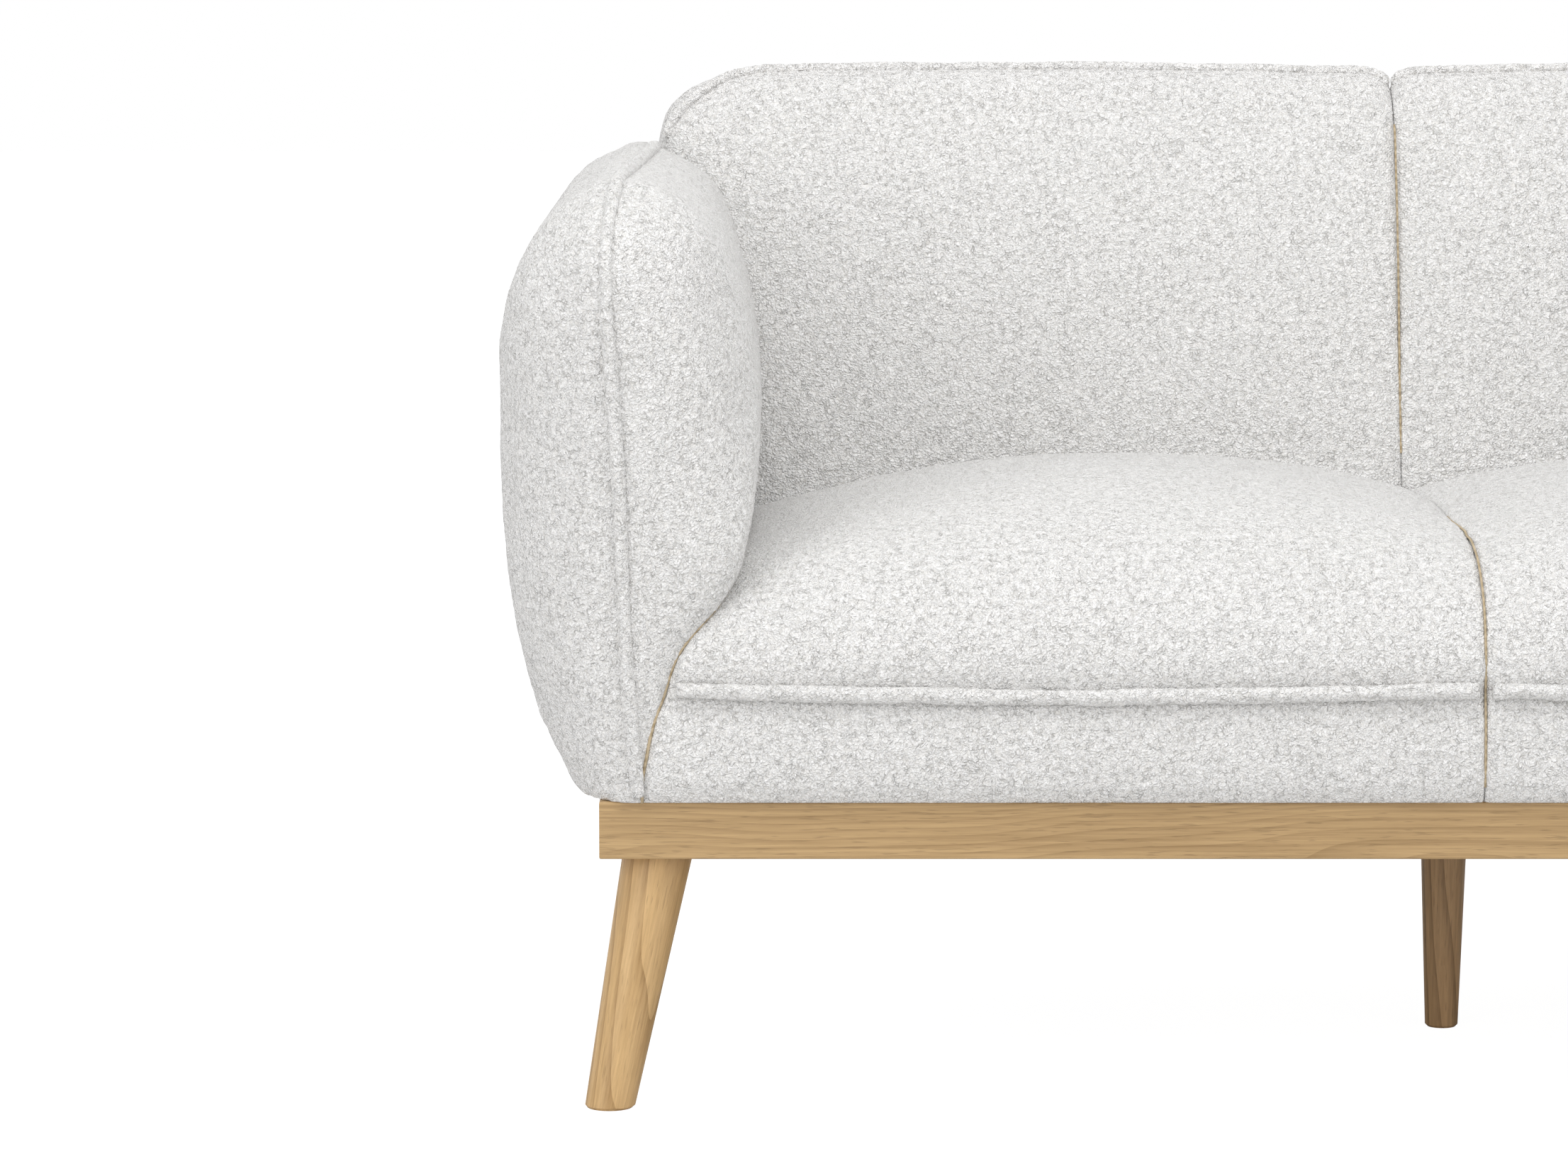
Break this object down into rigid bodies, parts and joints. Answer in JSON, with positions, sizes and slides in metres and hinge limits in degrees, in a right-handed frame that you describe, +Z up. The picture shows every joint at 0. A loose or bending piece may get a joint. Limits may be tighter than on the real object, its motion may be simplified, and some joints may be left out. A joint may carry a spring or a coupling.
{
  "type": "sofa",
  "caption": "Low upholstered sofa with rounded egg-shaped arms, tight seats and back, a slim wooden plinth and splayed tapered wooden legs.",
  "frame": {"origin": "on the floor under the middle of the sofa", "axes": "+X along the sofa, +Y from its front to its back, +Z up"},
  "size_m": [1.452, 0.79, 0.75],
  "materials": {
    "pale_oak": "clear matt lacquered pale oak with straight grain",
    "frame_pine": "sawn softwood",
    "zinc_steel": "zinc plated steel",
    "spring_steel": "oiled spring steel",
    "grey_felt": "needled felt",
    "black_lining": "black spunbond lining",
    "webbing": "woven elastic webbing",
    "boucle": "off-white looped boucle"
  },
  "bodies": {
    "root": {"arm_bolts": "zinc_steel", "arm_cushion_left": "boucle", "arm_cushion_right": "boucle", "arm_front_post_left": "frame_pine", "arm_front_post_right": "frame_pine", "arm_rear_post_left": "frame_pine", "arm_rear_post_right": "frame_pine", "arm_top_rail_left": "frame_pine", "arm_top_rail_right": "frame_pine", "back_bolts": "zinc_steel", "back_cushion_left": "boucle", "back_cushion_right": "boucle", "back_lower_rail_left": "frame_pine", "back_lower_rail_right": "frame_pine", "back_post_centre": "frame_pine", "back_post_left": "frame_pine", "back_post_right": "frame_pine", "back_top_rail": "frame_pine", "back_webbing_level": "webbing", "back_webbing_upright": "webbing", "centre_rail": "frame_pine", "corner_block_front_left": "frame_pine", "corner_block_front_right": "frame_pine", "corner_block_rear_left": "frame_pine", "corner_block_rear_right": "frame_pine", "dust_cover": "black_lining", "front_rail": "pale_oak", "left_rail": "pale_oak", "leg_bolts": "zinc_steel", "leg_centre": "pale_oak", "leg_front_left": "pale_oak", "leg_front_right": "pale_oak", "leg_rear_left": "pale_oak", "leg_rear_right": "pale_oak", "outer_back_panel": "boucle", "plinth_screws": "zinc_steel", "rear_rail": "pale_oak", "right_rail": "pale_oak", "seat_centre_board": "frame_pine", "seat_cushion_left": "boucle", "seat_cushion_right": "boucle", "seat_felt_left": "grey_felt", "seat_felt_right": "grey_felt", "seat_front_board": "frame_pine", "seat_left_board": "frame_pine", "seat_rear_board": "frame_pine", "seat_right_board": "frame_pine", "seat_springs_left": "spring_steel", "seat_springs_right": "spring_steel", "spring_clips": "spring_steel", "tee_nuts": "zinc_steel"}
  },
  "joints": []
}
